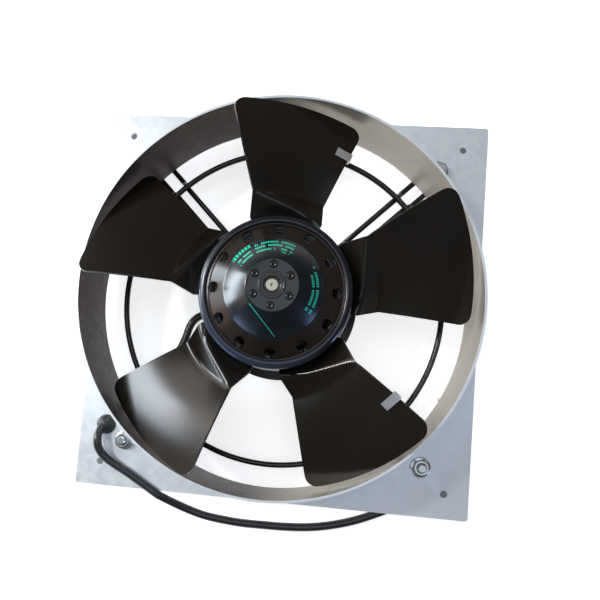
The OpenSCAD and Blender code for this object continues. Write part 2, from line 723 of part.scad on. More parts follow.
function bend_point(s) = polar(foot_r + bend_share * foot_fillet_r, s * edge_angle(root_r),
    attach_z(s) - bend_share * foot_fillet_r);
function blade_point(i, s) = i < foot_steps - 1 ? foot_point(i, s) : i == foot_steps - 1 ? bend_point(s)
    : i < foot_steps + neck_steps ? on_blade(mix(root_r, kink_r, (i - foot_steps) / neck_steps), s)
    : on_blade(mix(kink_r, tip_r(s), (i - foot_steps - neck_steps) / span_steps), s);

module blade(angle) color([0.07, 0.07, 0.08]) rotate(angle)
    sheet([for (i = [0 : foot_steps + neck_steps + span_steps]) [for (j = [0 : chord_steps])
        blade_point(i, -cos(180 * j / chord_steps))]], blade_t);

module blade_1() blade(blade_angles[0]);
module blade_2() blade(blade_angles[1]);
module blade_3() blade(blade_angles[2]);
module blade_4() blade(blade_angles[3]);
module blade_5() blade(blade_angles[4]);

// sprung clips of folded sheet, pushed over a blade's edge
module balance_clips() color([0.55, 0.57, 0.6]) for (c = clip_places) rotate(blade_angles[c[0]])
    balance_clip(c[2], c[1]);

module balance_clip(r, side) {
    step = balance_l / (r * blade_half_angle * PI / 180);
    edge = on_blade(r, side);
    inward = unit(on_blade(r, side * (1 - step)) - edge);
    up = unit(cross(on_blade(r + balance_w, side) - edge, inward));
    wide = cross(inward, up);
    gap = blade_t + 2 * balance_play;
    multmatrix([[inward.x, up.x, wide.x, edge.x], [inward.y, up.y, wide.y, edge.y],
        [inward.z, up.z, wide.z, edge.z], [0, 0, 0, 1]])
        rotate([-90, 0, 0]) translate([-balance_t - balance_play, 0, -gap / 2 - balance_t]) clip_body(gap);
}

module clip_body(gap) {
    difference() {
        translate([0, -balance_w / 2, 0]) cube([balance_l, balance_w, gap + 2 * balance_t]);
        translate([balance_t, -balance_w, balance_t]) cube([balance_l, 2 * balance_w, gap]);
    }
}

module lead_gland() color("black") translate(gland_at) rotate([0, 90, gland_angle])
    difference() {
        union() {
            cylinder(h = gland_out_r - gland_in_r, r = gland_r);
            translate([0, 0, boss_out_r - gland_in_r]) cylinder(h = gland_lip_t, r = gland_r + gland_lip);
        }
        translate([0, 0, -over]) cylinder(h = gland_out_r - gland_in_r + 2 * over, r = lead_r);
    }

// domed rubber grommet, its neck in the plate's hole
module cable_grommet() color([0.1, 0.1, 0.1]) translate([grommet_at.x, grommet_at.y, 0]) difference() {
    union() {
        translate([0, 0, plate_back - grommet_back_t]) cylinder(h = grommet_back_t, r = grommet_r);
        translate([0, 0, plate_back]) cylinder(h = sheet_t, r = grommet_hole_r - fit_gap);
        translate([0, 0, plate_front]) rotate_extrude() intersection() {
            square([grommet_r, grommet_dome_h]);
            translate([0, grommet_dome_h - grommet_r]) circle(grommet_r);
        }
    }
    cylinder(h = plate_front + grommet_r + over, r = lead_r);
}

module motor_lead() color([0.12, 0.12, 0.13]) tube(curve(motor_lead_route, 3), lead_r, lead_sides);
module supply_lead() color([0.12, 0.12, 0.13]) tube(curve(supply_lead_route, 2), lead_r, lead_sides);

// the four cores leave the sheath's end and spread a little
function lead_end() = supply_lead_route[len(supply_lead_route) - 1];
function lead_heading() = unit(lead_end() - supply_lead_route[len(supply_lead_route) - 2]);
module at_cores() {
    side = cross(lead_heading(), [0, 0, 1]);
    for (x = [-1, 1], z = [-1, 1]) {
        from = lead_end() + side * x * core_gap + [0, 0, z * core_gap];
        to = lead_end() + lead_heading() * core_len + side * x * (z > 0 ? core_wide : core_near)
            + [0, 0, ferrule_r + core_lift - lead_end().z];
        v = to - from;
        translate(from) rotate([0, acos(v.z / norm(v)), atan2(v.y, v.x)]) children();
    }
}

module lead_cores() color("slategray") at_cores() cylinder(h = core_len, d = core_d);

module core_ferrules() color("silver") at_cores() translate([0, 0, core_len]) {
    cylinder(h = ferrule_l, r = ferrule_r);
    cylinder(h = ferrule_l + ferrule_tip_l, r = ferrule_tip_r);
}

nozzle_plate();
support_arms();
support_ring();
arm_bolts();
arm_washers();
arm_nuts();
stator_flange();
motor_screws();
motor_screw_washers();
stator_core();
slot_insulators();
stator_windings();
thermal_cutout();
bearing_cap();
preload_washer();
rear_outer_race();
front_outer_race();
lead_gland();
motor_lead();
cable_grommet();
supply_lead();
lead_cores();
core_ferrules();
rotor_can();
hub_bush();
hub_rivets();
rotor_shaft();
retaining_ring();
rotor_core();
rotor_cage();
rear_inner_race();
front_inner_race();
blade_1();
blade_2();
blade_3();
blade_4();
blade_5();
balance_clips();
rear_bearing_balls();
rear_bearing_cage();
front_bearing_balls();
front_bearing_cage();
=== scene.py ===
# %% [markdown]
# # An axial fan on a square wall plate
# The fan lies on its back and is seen from its rotor side. The construction is loaded as a
# fixed frame of CAD nodes, and this script dresses it: it replaces what needs a finer mesh
# than the construction has, and gives each piece a finish made of shader nodes.

import math

import bmesh
import bpy
from mathutils import Matrix, Vector


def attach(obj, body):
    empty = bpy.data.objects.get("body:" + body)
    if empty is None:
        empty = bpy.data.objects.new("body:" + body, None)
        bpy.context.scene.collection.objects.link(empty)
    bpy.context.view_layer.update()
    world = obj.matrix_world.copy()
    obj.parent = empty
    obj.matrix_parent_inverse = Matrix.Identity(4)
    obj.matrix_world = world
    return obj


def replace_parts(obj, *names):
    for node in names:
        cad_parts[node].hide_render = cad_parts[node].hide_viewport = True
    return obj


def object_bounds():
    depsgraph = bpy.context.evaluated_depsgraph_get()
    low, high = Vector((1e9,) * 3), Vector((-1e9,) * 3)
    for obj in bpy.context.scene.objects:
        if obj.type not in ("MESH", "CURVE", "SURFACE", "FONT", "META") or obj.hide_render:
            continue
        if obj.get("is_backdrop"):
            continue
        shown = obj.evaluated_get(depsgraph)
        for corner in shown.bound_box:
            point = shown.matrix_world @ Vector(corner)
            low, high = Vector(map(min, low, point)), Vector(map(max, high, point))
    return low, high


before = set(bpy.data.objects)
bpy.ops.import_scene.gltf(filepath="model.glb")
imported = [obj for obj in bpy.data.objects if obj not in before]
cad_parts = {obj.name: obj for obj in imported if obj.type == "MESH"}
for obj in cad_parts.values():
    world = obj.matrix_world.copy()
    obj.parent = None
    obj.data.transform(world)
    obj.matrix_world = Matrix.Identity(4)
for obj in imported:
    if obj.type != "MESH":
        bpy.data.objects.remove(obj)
cad_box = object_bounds()
MM = 0.001

# %% [markdown]
# ## The camera
# A photograph fixes its camera: straight edges of known length, here the square plate, give
# the focal length, the place and the roll. The picture was cropped off its centre, and the
# shift puts that back without tilting the camera.

# %% Camera
CAMERA_PLACE = Vector((30.7, -59.8, 400.1)) * MM
CAMERA_RIGHT = Vector((0.9933, 0.0825, -0.0809))
CAMERA_BACK = Vector((0.0872, -0.0760, 0.9933))
SENSOR = 36.0
FOCAL = 32.435
SHIFT = (0.0452, 0.0780)


def add_camera():
    data = bpy.data.cameras.new("camera")
    data.sensor_width = SENSOR
    data.lens = FOCAL
    data.shift_x, data.shift_y = SHIFT
    camera = bpy.data.objects.new("camera", data)
    bpy.context.scene.collection.objects.link(camera)
    back = CAMERA_BACK.normalized()
    up = back.cross(CAMERA_RIGHT).normalized()
    right = up.cross(back)
    turn = Matrix((right, up, back)).transposed().to_4x4()
    camera.matrix_world = Matrix.Translation(CAMERA_PLACE) @ turn
    bpy.context.scene.camera = camera
    return camera


camera = add_camera()
print("camera at", tuple(round(c, 4) for c in camera.location))

# %% [markdown]
# ## Pieces from points
# Blender's own primitives have few of the forms of this fan, so every finer piece is a mesh
# made from its points. Most of them are grids: rings of a turned body, rings along a wire, or
# rows of points on a sheet. The faces of such a grid can be counted out once for all of them.

# %% Pieces from points
def new_piece(name, verts, faces):
    """A mesh object in the scene, with its faces shaded smooth."""
    mesh = bpy.data.meshes.new(name)
    mesh.from_pydata([tuple(v) for v in verts], [], faces)
    mesh.validate()
    obj = bpy.data.objects.new(name, mesh)
    bpy.context.scene.collection.objects.link(obj)
    work = bmesh.new()
    work.from_mesh(mesh)
    bmesh.ops.recalc_face_normals(work, faces=work.faces)
    for face in work.faces:
        face.smooth = True
    work.to_mesh(mesh)
    work.free()
    return obj


def grid_faces(rows, cols, closed_rows=False, closed_cols=False):
    """Quads between the points of a grid, which may close on itself either way."""
    return [(i * cols + j, i * cols + (j + 1) % cols,
             (i + 1) % rows * cols + (j + 1) % cols, (i + 1) % rows * cols + j)
            for i in range(rows - (not closed_rows)) for j in range(cols - (not closed_cols))]


print("mesh helpers ready")

# %% [markdown]
# ## Round wire
# The lead and the arms are round and bent. A curve object with a round bevel would draw them
# too, but a swept mesh has closed ends. The sweep turns its ring as little as it can from point
# to point.

# %% Round wire
def wire_tube(name, paths, radius, sides=24):
    """Round bars along paths, closed at both ends."""
    verts, faces = [], []
    for path in paths:
        start = len(verts)
        tangents = [(path[min(i + 1, len(path) - 1)] - path[max(i - 1, 0)]).normalized()
                    for i in range(len(path))]
        normal = tangents[0].orthogonal().normalized()
        for point, tangent in zip(path, tangents):
            normal = (normal - tangent * normal.dot(tangent)).normalized()
            side = tangent.cross(normal)
            verts += [point + radius * (normal * math.cos(a) + side * math.sin(a))
                      for a in (math.tau * k / sides for k in range(sides))]
        last = len(verts) - sides
        faces += [tuple(start + v for v in face)
                  for face in grid_faces(len(path), sides, closed_cols=True)]
        faces += [tuple(range(start, start + sides)), tuple(range(last, last + sides))]
    return new_piece(name, verts, faces)


def smooth_curve(points, steps):
    """Points on a smooth curve through the given ones."""
    points = [Vector(p) for p in points]
    out = []
    for i in range(len(points) - 1):
        a, b, c, d = (points[min(max(k, 0), len(points) - 1)] for k in range(i - 1, i + 3))
        for k in range(steps):
            u = k / steps
            out.append(0.5 * (2 * b + (c - a) * u + (2 * a - 5 * b + 4 * c - d) * u ** 2
                              + (3 * b - a - 3 * c + d) * u ** 3))
    return out + [points[-1]]


print("wire helpers ready")

# %% [markdown]
# ## The supply lead
# A free lead is a fixed length of something flexible. It leaves the grommet upwards, bends
# over, runs down across the plate's edge to the floor and in under the plate, where its
# stripped end lies. The route repeats the construction's points.

# %% Supply lead
LEAD_RADIUS = 2.9 * MM
GROMMET = (-121, -96)
LEAD_ROUTE = [
    (*GROMMET, 11.1), (-122.2, -97.5, 13.7), (-123.1, -99.8, 16.1), (-123.5, -102.7, 18),
    (-123.4, -106, 19.1), (-122.8, -109.5, 19.4), (-121.4, -113.3, 19), (-118.8, -117, 18.1),
    (-115, -120.4, 17), (-110, -123.6, 15.9), (-104, -126.9, 14.9), (-98, -130.2, 14.3),
    (-90, -134.8, 14.2), (-82, -139.3, 14.3), (-77.5, -142, 13.8), (-73, -144.4, 12.1),
    (-62.6, -149.6, 7.2), (-51, -154, 4.1), (-39.5, -156.6, 3), (-19, -158.4, 2.9),
    (-1.7, -158.4, 2.9), (15.6, -158, 2.9), (33, -156.5, 2.9), (49, -153.3, 2.9),
    (64, -148.7, 2.9), (78, -142.8, 2.9), (90, -136.8, 2.9), (101, -130, 2.9),
    (110, -122.6, 2.9), (117, -113.5, 2.9), (121, -104, 2.9), (122.5, -95, 2.9),
]
lead_path = smooth_curve([Vector(p) * MM for p in LEAD_ROUTE], 5)
lead_length = sum((b - a).length for a, b in zip(lead_path, lead_path[1:]))
supply_lead = wire_tube("supply_lead", [lead_path], LEAD_RADIUS)
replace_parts(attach(supply_lead, "frame"), "supply_lead")
print("supply lead:", round(lead_length, 3), "m")

# %% [markdown]
# ## Shader arithmetic
# A finish is easier to read as a formula than as a drawing of nodes. Nodes could be placed and
# linked one by one, but this small class wraps a socket, and its operators add the Math nodes
# that an expression on sockets needs.

# %% Shader arithmetic
class Shade:
    """A shader value: sums and products of it add their own Math nodes."""

    def __init__(self, tree, socket):
        self.tree, self.socket = tree, socket

    def math(self, operation, *values):
        node = self.tree.nodes.new("ShaderNodeMath")
        node.operation = operation
        for slot, value in zip(node.inputs, values):
            feed(self.tree, slot, value)
        return Shade(self.tree, node.outputs[0])

    def __add__(self, other):
        return self.math("ADD", self, other)

    def __sub__(self, other):
        return self.math("SUBTRACT", self, other)

    def __rsub__(self, other):
        return self.math("SUBTRACT", other, self)

    def __mul__(self, other):
        return self.math("MULTIPLY", self, other)

    def __truediv__(self, other):
        return self.math("DIVIDE", self, other)

    def __rtruediv__(self, other):
        return self.math("DIVIDE", other, self)

    __radd__, __rmul__ = __add__, __mul__

    def __lt__(self, other):
        return self.math("LESS_THAN", self, other)

    def __gt__(self, other):
        return self.math("GREATER_THAN", self, other)

    def __abs__(self):
        return self.math("ABSOLUTE", self)

    def sqrt(self):
        return self.math("SQRT", self)

    def fract(self):
        return self.math("FRACT", self)

    def clamp(self):
        return self.math("MINIMUM", self.math("MAXIMUM", self, 0.0), 1.0)


def feed(tree, slot, value):
    """Links a shader value to a socket, or sets a plain one on it."""
    if isinstance(value, Shade):
        tree.links.new(value.socket, slot)
    else:
        slot.default_value = value


print("reflected operators:", sorted(name for name in vars(Shade) if name.startswith("__r")))

# %% [markdown]
# ## Materials from formulas
# A real finish is one skin over the whole piece, so each material here has one Principled
# surface. Every other node comes from one method, which takes the node's type, its settings
# and its sockets, and the short methods below it name what this fan's finishes need.

# %% Materials from formulas
class Finish:
    """A material under construction, with one Principled surface."""

    def __init__(self, name):
        self.material = bpy.data.materials.new(name)
        self.material.use_nodes = True
        self.tree = self.material.node_tree
        self.tree.nodes.clear()
        self.output = self.tree.nodes.new("ShaderNodeOutputMaterial")

    def node(self, kind, settings=None, values=None, out=0):
        """Any node: its settings first, then the values or links of its sockets."""
        node = self.tree.nodes.new("ShaderNode" + kind)
        for key, setting in (settings or {}).items():
            setattr(node, key, setting)
        for slot, value in (values or {}).items():
            feed(self.tree, node.inputs[slot], value)
        return Shade(self.tree, node.outputs[out])

    def place(self):
        return self.node("TexCoord", out="Object")

    def parts_of(self, vector):
        split = self.node("SeparateXYZ", None, {0: vector}).socket.node
        return [Shade(self.tree, split.outputs[k]) for k in range(3)]

    def millimetres(self):
        """The place in millimetres, and the distance from the fan's axis."""
        x, y, z = [part * (1 / MM) for part in self.parts_of(self.place())]
        return x, y, z, (x * x + y * y).sqrt()

    def noise(self, scale, detail, vector=None):
        values = {"Vector": vector or self.place(), "Scale": scale, "Detail": detail}
        return self.node("TexNoise", None, values, "Fac")

    def mix(self, share, low, high):
        """A colour between two colours, by a share from 0 to 1."""
        return self.node("Mix", {"data_type": "RGBA"}, {0: share, 6: low, 7: high}, 2)

    def bump(self, height, strength, distance):
        values = {"Strength": strength, "Distance": distance, "Height": height}
        return self.node("Bump", None, values, "Normal")

    def surface(self, **values):
        named = {key.replace("_", " ").title(): value for key, value in values.items()}
        shader = self.node("BsdfPrincipled", None, named)
        self.tree.links.new(shader.socket, self.output.inputs["Surface"])
        return self.material


def grey(level, blue=0.0):
    """A neutral colour of a linear level, tinted a little towards blue or brown."""
    return (level * (1 - blue), level, level * (1 + blue), 1.0)


print("shader helpers ready")

# %% [markdown]
# ## Rows of dashes
# The can's cone carries rows of small plain dashes and one scribed line. They could be thin
# pieces of mesh, but a mask in the material lies on the surface by itself and turns with the
# can. A row is a band of distance from the axis, cut up by the angle.

# %% Rows of dashes
# (distance from the axis, height, first and last angle, pitch in degrees)
MARK_ROWS = [(30.0, 2.4, 153, 122, 4.4), (28.4, 1.5, 119, 67, 2.8), (25.8, 1.4, 120, 66, 2.6),
             (25.9, 1.4, 149, 126, 2.9), (23.0, 1.3, 151, 126, 3.0), (22.8, 1.3, 120, 91, 3.0),
             (23.0, 1.6, 82, 65, 3.2), (20.9, 0.8, 80, 67, 2.4), (26.6, 1.5, 24, -33, 3.0),
             (24.0, 1.4, 21, -32, 2.9), (27.2, 1.2, 32, 29, 3.0)]
DASH_SHARE = 0.7
GROUP_SHARE, GROUPS_PER_DASH, GROUP_OFFSET = 0.86, 0.11, 0.37
SCRIBED_LINE, SCRIBED_HALF = [(-12.6, -11.7), (3.1, -29.2)], 0.17
TEAL = (0.012, 0.56, 0.38, 1.0)


def within(value, low, high):
    """1 where a shader value lies between two numbers, else 0."""
    return (value > low) * (value < high)


def printed_marks(finish):
    """Rows of plain dashes on the can's cone, and one scribed line."""
    x, y, _, r = finish.millimetres()
    turn = x.math("ARCTAN2", y, x) * (180 / math.pi)
    (x0, y0), (x1, y1) = SCRIBED_LINE
    length = math.hypot(x1 - x0, y1 - y0)
    ux, uy = (x1 - x0) / length, (y1 - y0) / length
    along = (x - x0) * ux + (y - y0) * uy
    aside = (x - x0) * uy + (y - y0) * (-ux)
    marks = within(along, 0.0, length) * within(aside, -SCRIBED_HALF, SCRIBED_HALF)
    for row, height, start, end, pitch in MARK_ROWS:
        dash = (turn * (1 / pitch) + row).fract() < DASH_SHARE
        group = (turn * (GROUPS_PER_DASH / pitch) + row * GROUP_OFFSET).fract() < GROUP_SHARE
        strip = within(r, row - height / 2, row + height / 2) * within(turn, end, start)
        marks += strip * dash * group
    return marks.clamp()


print("rows of dashes:", len(MARK_ROWS))

# %% [markdown]
# ## Black coating
# The motor and the blades are electro-coated: a thin, even, glossy black skin. Most of what is
# seen in it is reflection, so a flat colour would do, but a slight waviness keeps the
# reflections from looking drawn. The can also carries painted reflections, a warm brown on its
# shoulder and a cool blue on its rim, because the real one mirrors a room there that a pale
# floor can't show.

# %% Black coating
# Painted reflections: brown on the can's shoulder, blue on its rim.
SHOULDER_IN, SHOULDER_OUT = 31.2, 43.4
SHOULDER_REFLECTION_MIDDLE, SHOULDER_REFLECTION_SIDE = (0.006, 0.005, 0.004, 1.0), (0.020, 0.013, 0.009, 1.0)
RIM_REFLECTION_GROWTH = 0.8
RIM_REFLECTION_AWAY, RIM_REFLECTION_TOWARD = (0.008, 0.010, 0.016, 1.0), (0.026, 0.036, 0.060, 1.0)


def can_reflections_and_print(finish, black):
    """Painted reflections: the can's shoulder is brownest at the sides, and its rim bluest
    towards -X and -Y.
    """
    x, y, _, r = finish.millimetres()
    # Painted reflections: a brown room on the shoulder, blue light on the rim.
    shoulder_reflection = finish.mix(abs(x) / r, SHOULDER_REFLECTION_MIDDLE, SHOULDER_REFLECTION_SIDE)
    rim = finish.mix(((x + y) * -RIM_REFLECTION_GROWTH / r).clamp(), RIM_REFLECTION_AWAY, RIM_REFLECTION_TOWARD)
    color = finish.mix(within(r, SHOULDER_IN, SHOULDER_OUT), black, shoulder_reflection)
    color = finish.mix(r > SHOULDER_OUT, color, rim)
    return finish.mix(printed_marks(finish), color, TEAL)


def black_coating(name, roughness, wave=0.15, blue=0.05, tones=None):
    finish = Finish(name)
    cloud = finish.noise(35.0, 3.0)
    grain = finish.noise(900.0, 2.0)
    color = finish.mix(cloud, grey(0.005, blue), grey(0.010, blue))
    return finish.surface(
        base_color=tones(finish, color) if tones else color,
        roughness=cloud * 0.06 + grain * 0.03 + roughness,
        normal=finish.bump(grain * 0.3 + cloud, wave, 0.00008),
    )


BLADE_BLACK = black_coating("blade_black", 0.16, blue=-0.25)
CAN_BLACK = black_coating("can_black", 0.16, blue=0.6, tones=can_reflections_and_print)
WIRE_BLACK = black_coating("wire_black", 0.2)
CASTING_BLACK = black_coating("casting_black", 0.38, 0.4)
print("black coatings:", BLADE_BLACK.name, CAN_BLACK.name, WIRE_BLACK.name, CASTING_BLACK.name)

# %% [markdown]
# ## Galvanised sheet
# Zinc freezes on the sheet in flat crystals, each of which mirrors a little differently. Noise
# alone would look like dirt, so the cells of a Voronoi texture vary the brightness and the
# roughness, and fine streaks follow the direction in which the sheet was rolled. The nozzle's
# inner face mirrors a dark room on the real fan and lies in shade towards -X. A pale floor
# can't give that, so the finish carries painted light and shade there: a lit beige, and a
# shaded brown that grows towards -X.

# %% Galvanised sheet
SHEET = 1.5
PLATE_BACK = 9.6
PLATE_FRONT = PLATE_BACK + SHEET
NOZZLE, MOUTH, NOZZLE_TOP = 128.5, 139.0, 64.6
BELL_ROUND = MOUTH - NOZZLE
BELL_Z = PLATE_BACK + BELL_ROUND
BARE_EDGE = 0.4
PAINTED_SHADE_FROM, PAINTED_SHADE_GROWTH = 0.2, 3.5
SHEET_DULL, SHEET_BRIGHT = (0.64, 0.69, 0.75, 1.0), (0.80, 0.83, 0.86, 1.0)
# Painted light and shade for the nozzle's inner face: lit beige and shaded brown.
WALL_PAINTED_LIT, WALL_PAINTED_SHADE = (0.44, 0.40, 0.34, 1.0), (0.022, 0.010, 0.006, 1.0)


def nozzle_inside(finish):
    """Masks of the nozzle's inner face, and of how much painted shade it gets on the way round.
    """
    x, _, z, r = finish.millimetres()
    below = z.math("MINIMUM", z, BELL_Z) - BELL_Z
    across = r - MOUTH
    depth = (across * across + below * below).sqrt()
    inner_face = (depth > BELL_ROUND - SHEET / 2) * within(r, NOZZLE - 1, MOUTH)
    # Painted shade and reflection on the inner wall, growing towards -X.
    painted_shade_share = ((PAINTED_SHADE_FROM - x / r) * PAINTED_SHADE_GROWTH).clamp()
    return inner_face * (z < NOZZLE_TOP - BARE_EDGE), painted_shade_share


def galvanised(name):
    finish = Finish(name)
    place = finish.place()
    cell = finish.node("TexVoronoi", None, {"Vector": place, "Scale": 260.0}, "Color")
    spangle = finish.parts_of(cell)[0]
    rolled = finish.node("Mapping", None, {"Vector": place, "Scale": (900.0, 20.0, 20.0)})
    streak = finish.noise(1.0, 3.0, rolled)
    stain = finish.noise(18.0, 4.0)
    tone = spangle * 0.35 + streak * 0.25 + stain * 0.4
    inside, painted_shade_share = nozzle_inside(finish)
    sheet = finish.mix(tone, SHEET_DULL, SHEET_BRIGHT)
    # Painted light and shade on the inner wall, from lit beige to shaded brown.
    wall = finish.mix(painted_shade_share, WALL_PAINTED_LIT, WALL_PAINTED_SHADE)
    return finish.surface(
        base_color=finish.mix(inside, sheet, wall),
        metallic=0.6,
        roughness=spangle * 0.08 + stain * 0.1 + 0.34,
        normal=finish.bump(streak + spangle * 0.4, 0.12, 0.00005),
    )


GALVANISED = galvanised("galvanised")
print("sheet:", GALVANISED.name)

# %% [markdown]
# ## Plated, ground and moulded pieces
# Small hardware shares a few finishes: bright zinc, ground steel, rubber and PVC. Pictures of
# them would need unwrapped surfaces, but noise in the piece's own space needs none. Each
# finish has its own grain, so that no piece is a single flat colour.

# %% Other finishes
def metal(name, low, high, roughness, grain_scale=700.0, metallic=1.0):
    finish = Finish(name)
    fine = finish.noise(grain_scale, 3.0)
    worn = finish.noise(60.0, 3.0)
    return finish.surface(
        base_color=finish.mix(worn, low, high),
        metallic=metallic,
        roughness=fine * 0.12 + worn * 0.08 + roughness,
        normal=finish.bump(fine, 0.15, 0.00004),
    )


def moulded(name, low, high, roughness, bump=0.2):
    finish = Finish(name)
    fine = finish.noise(500.0, 3.0)
    cloud = finish.noise(40.0, 2.0)
    return finish.surface(
        base_color=finish.mix(cloud, low, high),
        roughness=fine * 0.1 + roughness,
        normal=finish.bump(fine, bump, 0.00006),
    )


ZINC = metal("bright_zinc", (0.40, 0.42, 0.44, 1), (0.62, 0.63, 0.63, 1), 0.2)
GROUND_STEEL = metal("ground_steel", (0.30, 0.28, 0.22, 1), (0.52, 0.50, 0.42, 1), 0.34,
                     grain_scale=1200.0)
BEARING_STEEL = metal("bearing_steel", (0.6, 0.6, 0.61, 1), (0.74, 0.74, 0.75, 1), 0.08)
SPRING_STEEL = metal("spring_steel", (0.62, 0.64, 0.66, 1), (0.82, 0.83, 0.83, 1), 0.34)
LAMINATION = metal("lamination", (0.26, 0.26, 0.27, 1), (0.42, 0.41, 0.40, 1), 0.4)
CAST_ALUMINIUM = metal("cast_aluminium", (0.60, 0.61, 0.62, 1), (0.72, 0.72, 0.72, 1), 0.42,
                       grain_scale=300.0)
TINNED = metal("tinned_copper", (0.66, 0.65, 0.62, 1), (0.80, 0.79, 0.76, 1), 0.25)
CAGE_BRASS = metal("cage_brass", (0.55, 0.38, 0.14, 1), (0.70, 0.52, 0.22, 1), 0.25)
# The windings' dark varnish is darkened further as painted shade inside the can.
COPPER_IN_PAINTED_SHADE = metal("varnished_copper_in_painted_shade", (0.02, 0.008, 0.004, 1), (0.04, 0.015, 0.006, 1), 0.3,
               grain_scale=900.0, metallic=0.6)
RUBBER = moulded("rubber", grey(0.010), grey(0.022), 0.42)
SHEATH = moulded("lead_sheath", (0.008, 0.008, 0.009, 1), (0.018, 0.017, 0.018, 1), 0.22,
                 bump=0.04)
CORE_SLEEVE = moulded("core_sleeve", (0.02, 0.025, 0.04, 1), (0.05, 0.055, 0.075, 1), 0.35)
# Slot liners near-black as painted shade inside the can.
SLOT_LINER_IN_PAINTED_SHADE = moulded("slot_liner_in_painted_shade", (0.008, 0.009, 0.010, 1), (0.016, 0.017, 0.018, 1), 0.45)
PLASTIC = moulded("black_plastic", grey(0.012), grey(0.024), 0.45)
print("materials:", len(bpy.data.materials))

# %% [markdown]
# ## A finish for every node
# The real fan shows at a glance which piece is zinc, which is rubber and which is black. The
# table below says the same for every node of the construction. Each CAD mesh takes its
# material from it, and so does the finer piece that stands in for a mesh later.

# %% A finish for every node
NODE_FINISH = {
    "nozzle_plate": GALVANISED, "support_arms": WIRE_BLACK, "support_ring": WIRE_BLACK,
    "arm_bolts": ZINC, "arm_washers": ZINC, "arm_nuts": ZINC, "motor_screws": ZINC,
    "motor_screw_washers": ZINC, "stator_flange": CASTING_BLACK, "stator_core": LAMINATION,
    "slot_insulators": SLOT_LINER_IN_PAINTED_SHADE, "stator_windings": COPPER_IN_PAINTED_SHADE, "thermal_cutout": PLASTIC,
    "bearing_cap": PLASTIC, "preload_washer": BEARING_STEEL,
    "rear_outer_race": BEARING_STEEL, "rear_inner_race": BEARING_STEEL,
    "rear_bearing_balls": BEARING_STEEL, "rear_bearing_cage": CAGE_BRASS,
    "front_outer_race": BEARING_STEEL, "front_inner_race": BEARING_STEEL,
    "front_bearing_balls": BEARING_STEEL, "front_bearing_cage": CAGE_BRASS,
    "lead_gland": RUBBER, "cable_grommet": RUBBER, "motor_lead": SHEATH,
    "supply_lead": SHEATH, "lead_cores": CORE_SLEEVE, "core_ferrules": TINNED,
    "rotor_can": CAN_BLACK, "hub_bush": BLADE_BLACK, "hub_rivets": BLADE_BLACK,
    "rotor_shaft": GROUND_STEEL, "retaining_ring": BEARING_STEEL,
    "rotor_core": LAMINATION, "rotor_cage": CAST_ALUMINIUM, "balance_clips": SPRING_STEEL,
} | {f"blade_{k}": BLADE_BLACK for k in range(1, 6)}


def paint(obj, material):
    obj.data.materials.clear()
    obj.data.materials.append(material)
    return obj


def dress(obj, node, body):
    """Gives a finer piece its node's finish and its place on a body, instead of the solid."""
    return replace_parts(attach(paint(obj, NODE_FINISH[node]), body), node)


for node_name, node_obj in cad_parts.items():
    paint(node_obj, NODE_FINISH[node_name])
paint(supply_lead, SHEATH)
print("finishes on", len(NODE_FINISH), "nodes")

# %% [markdown]
# ## Pressed sheet
# A blade is sheet metal, the same thickness all over. A solidify modifier would give that too,
# but its result at the sharp bend of the foot is hard to foresee, so both faces are set off
# here from a grid of points on the sheet's middle surface.

# %% Pressed sheet
def polar(r, degrees, z):
    a = math.radians(degrees)
    return Vector((r * math.cos(a), r * math.sin(a), z))


def sheet_metal(name, grid, thickness):
    """A sheet of even thickness from a grid of points on its middle surface."""
    rows, cols = len(grid), len(grid[0])

    def normal(i, j):
        along = grid[min(i + 1, rows - 1)][j] - grid[max(i - 1, 0)][j]
        across = grid[i][min(j + 1, cols - 1)] - grid[i][max(j - 1, 0)]
        return along.cross(across).normalized()

    normals = [[normal(i, j) for j in range(cols)] for i in range(rows)]
    verts = [grid[i][j] + side * thickness / 2 * normals[i][j]
             for side in (1, -1) for i in range(rows) for j in range(cols)]
    half = rows * cols
    upper = grid_faces(rows, cols)
    faces = upper + [tuple(half + v for v in reversed(face)) for face in upper]
    rim = ([(0, j) for j in range(cols)] + [(i, cols - 1) for i in range(1, rows)]
           + [(rows - 1, j) for j in range(cols - 2, -1, -1)]
           + [(i, 0) for i in range(rows - 2, 0, -1)])
    rim = [i * cols + j for i, j in rim]
    faces += [(a, b, half + b, half + a) for a, b in zip(rim, rim[1:] + rim[:1])]
    return new_piece(name, verts, faces)


def round_edges(obj, width, segments, angle):
    """Bevels the sharp edges, and lets the flat faces keep their own shading."""
    bevel = obj.modifiers.new("round_edges", "BEVEL")
    bevel.width = width
    bevel.segments = segments
    bevel.limit_method = "ANGLE"
    bevel.angle_limit = math.radians(angle)
    bevel.harden_normals = True
    return obj


print("sheet helpers ready")

# %% [markdown]
# ## The blades
# Each blade is one pressed sheet: a foot that hugs the can's wall, a sharp bend, a short neck
# folded along a slanting ridge, and the wide blade, pitched and slightly hollow. The surface
# is a formula of the distance from the axis and of the place between the blade's two edges,
# the same formula as in the construction, on a finer grid.

